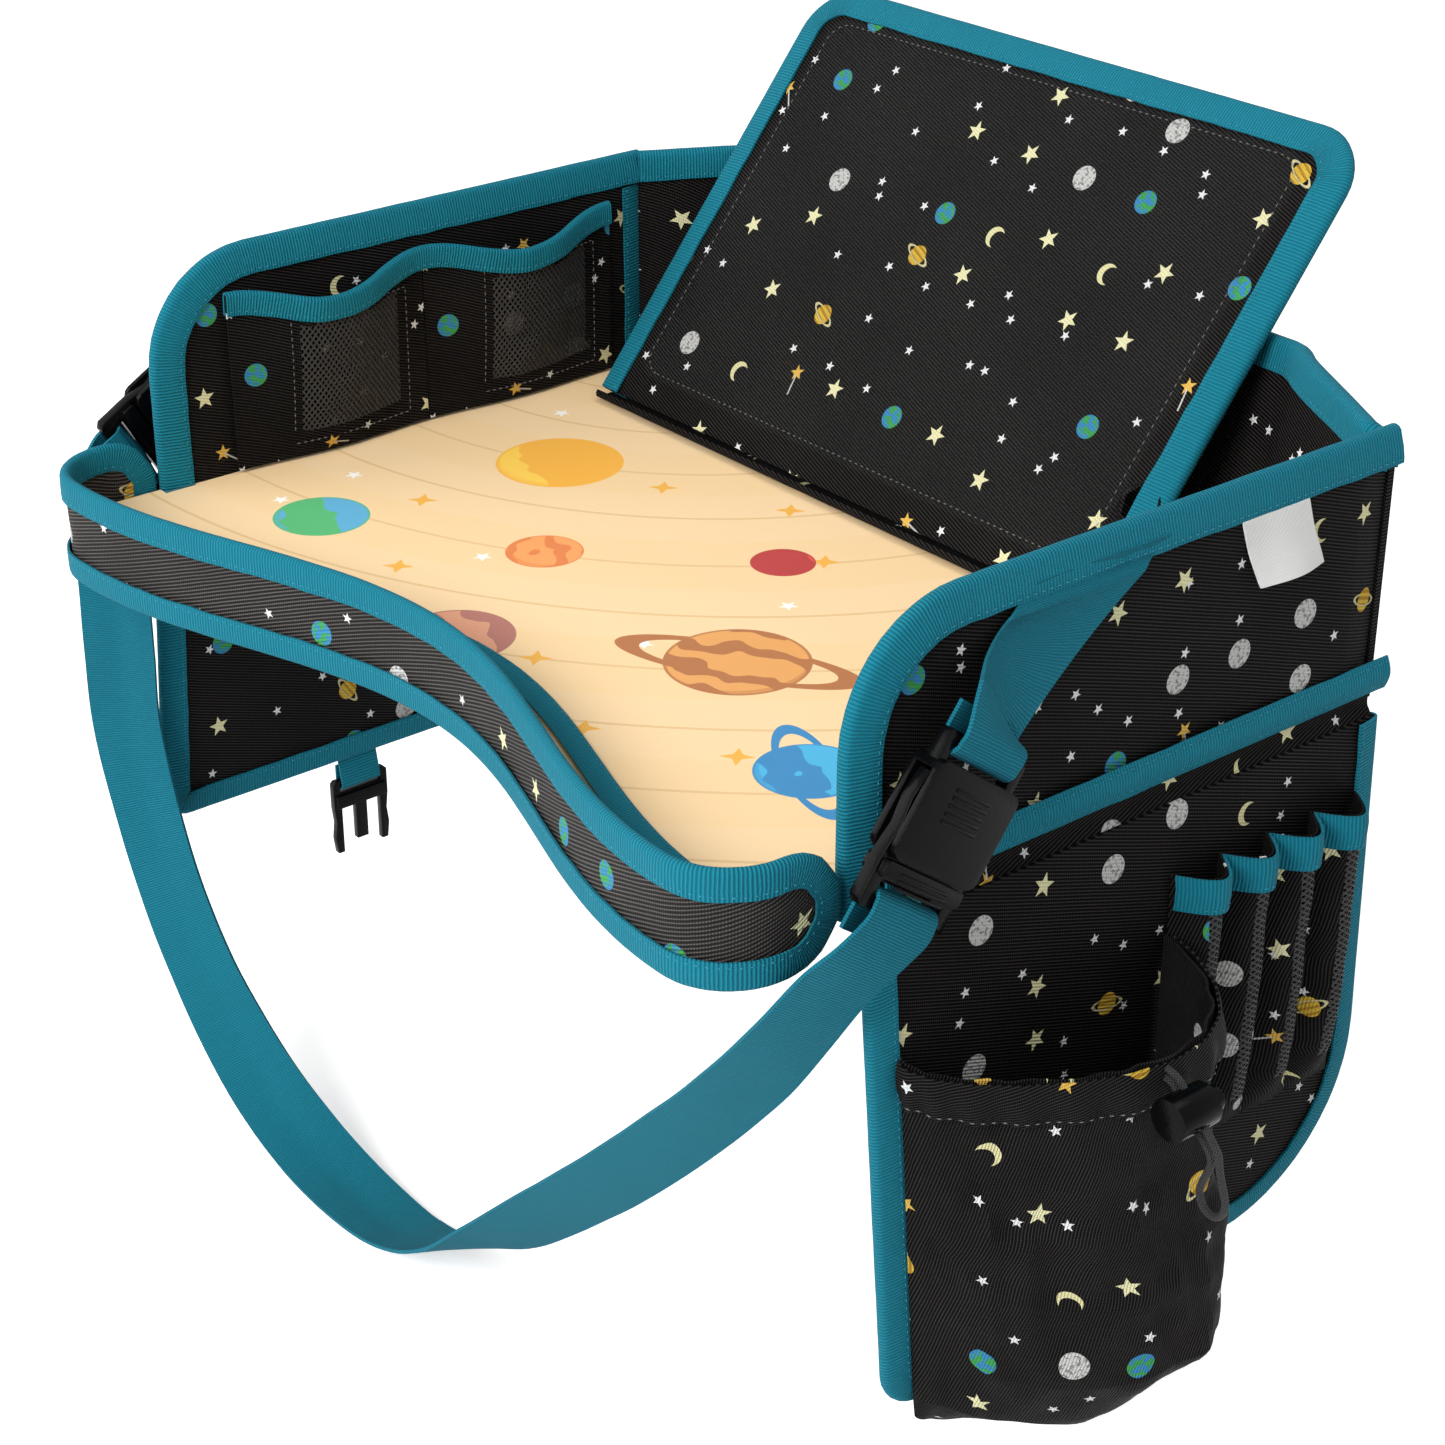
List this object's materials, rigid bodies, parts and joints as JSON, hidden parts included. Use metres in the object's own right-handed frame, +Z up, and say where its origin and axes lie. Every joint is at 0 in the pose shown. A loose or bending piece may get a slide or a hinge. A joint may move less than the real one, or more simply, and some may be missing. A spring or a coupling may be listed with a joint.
{
  "type": "car seat tray table",
  "caption": "Fabric lap tray with raised rim, side walls, leaning tablet stand, hanging side wings with bottle pouch and marker slots, and a buckled carry strap.",
  "frame": {"origin": "centre of the deck's underside", "axes": "+X to the sitter's right hand, +Y away from the sitter, +Z up"},
  "size_m": [0.5253, 0.3766, 0.4147],
  "materials": {
    "binding_teal": "ribbed woven binding tape",
    "webbing_teal": "finely ribbed webbing",
    "cloth_black": "printed oxford cloth",
    "pouch_cloth": "soft printed cloth",
    "net_black": "printed cloth with net strips",
    "plastic_black": "moulded, half gloss",
    "print_beige": "printed play surface",
    "board_grey": "stiffening board",
    "foam_grey": "thin foam sheet",
    "film_clear": "clear soft plastic film",
    "label_white": "woven, plain",
    "spring_steel": "bright wire",
    "cord_black": "round braided cord"
  },
  "bodies": {
    "tray": {"deck_underside_panel": "cloth_black", "deck_board": "board_grey", "deck_foam": "foam_grey", "print_sheet": "print_beige", "clear_cover": "film_clear", "clear_cover_binding": "binding_teal", "rim_band": "cloth_black", "rim_binding": "binding_teal", "left_wall_cover": "cloth_black", "left_wall_board": "board_grey", "left_wall_binding": "binding_teal", "right_wall_cover": "cloth_black", "right_wall_board": "board_grey", "right_wall_binding": "binding_teal", "corner_binding": "binding_teal", "back_wall": "cloth_black", "back_wall_binding": "binding_teal", "left_piping": "binding_teal", "right_piping": "binding_teal", "left_wing_seam": "cloth_black", "right_wing_seam": "cloth_black", "tablet_hinge_strip": "cloth_black", "left_pocket_front": "net_black", "left_pocket_rear": "net_black", "left_pocket_binding": "binding_teal", "left_anchor_strap": "webbing_teal", "right_anchor_strap": "webbing_teal", "left_buckle_socket": "plastic_black", "right_buckle_socket": "plastic_black", "carry_strap": "webbing_teal", "label_tab": "label_white"},
    "tablet_stand": {"tablet_panel_cover": "cloth_black", "tablet_panel_board": "board_grey", "tablet_panel_binding": "binding_teal", "tablet_window": "film_clear"},
    "left_wing": {"left_wing_cover": "cloth_black", "left_wing_board": "board_grey", "left_wing_binding": "binding_teal"},
    "right_wing": {"right_wing_cover": "cloth_black", "right_wing_board": "board_grey", "right_wing_binding": "binding_teal", "bottle_pouch": "pouch_cloth", "pouch_hem": "pouch_cloth", "marker_pocket": "net_black", "marker_elastic": "binding_teal", "drawcord": "cord_black"},
    "left_clip": {"left_clip_tab": "binding_teal", "left_clip_plug": "plastic_black"},
    "right_clip": {"right_clip_tab": "binding_teal", "right_clip_socket": "plastic_black"},
    "cord_lock": {"cord_lock": "plastic_black", "cord_lock_spring": "spring_steel"},
    "cord_lock_button": {"cord_lock_button": "plastic_black"},
    "left_plug": {"left_buckle_plug": "plastic_black"},
    "right_plug": {"right_buckle_plug": "plastic_black"}
  },
  "joints": [
    {"name": "tablet_stand_tilt", "type": "hinge", "parent": "tray", "child": "tablet_stand", "pos_m": [-0.025, 0.099, 0.012], "axis": [1, 0, 0], "range_deg": [0, 123]},
    {"name": "left_wing_swing", "type": "hinge", "parent": "tray", "child": "left_wing", "pos_m": [-0.2132, 0, -0.0034], "axis": [0, -1, 0], "range_deg": [-45, 75]},
    {"name": "right_wing_swing", "type": "hinge", "parent": "tray", "child": "right_wing", "pos_m": [0.2132, 0, -0.0034], "axis": [0, 1, 0], "range_deg": [-45, 75]},
    {"name": "left_clip_swing", "type": "hinge", "parent": "left_wing", "child": "left_clip", "pos_m": [-0.2132, -0.008, -0.14475], "axis": [0, 1, 0], "range_deg": [-70, 70]},
    {"name": "right_clip_swing", "type": "hinge", "parent": "right_wing", "child": "right_clip", "pos_m": [0.211, -0.008, -0.095], "axis": [0, -1, 0], "range_deg": [-75, 0]},
    {"name": "right_plug_release", "type": "slide", "parent": "tray", "child": "right_plug", "axis": [0, -0.6, -0.8], "range_m": [0, 0.03], "deforming": ["carry_strap"]},
    {"name": "left_plug_release", "type": "slide", "parent": "tray", "child": "left_plug", "axis": [0, -0.8601, -0.5101], "range_m": [0, 0.03], "deforming": ["carry_strap"]},
    {"name": "cord_lock_slide", "type": "slide", "parent": "right_wing", "child": "cord_lock", "axis": [0.7071, 0, -0.7071], "range_m": [0, 0.006]},
    {"name": "cord_lock_button_press", "type": "slide", "parent": "cord_lock", "child": "cord_lock_button", "axis": [0, -1, 0], "range_m": [0, 0.0025], "stiffness_N_per_m": 400, "springref_m": -0.0005, "deforming": ["cord_lock_spring"]}
  ]
}
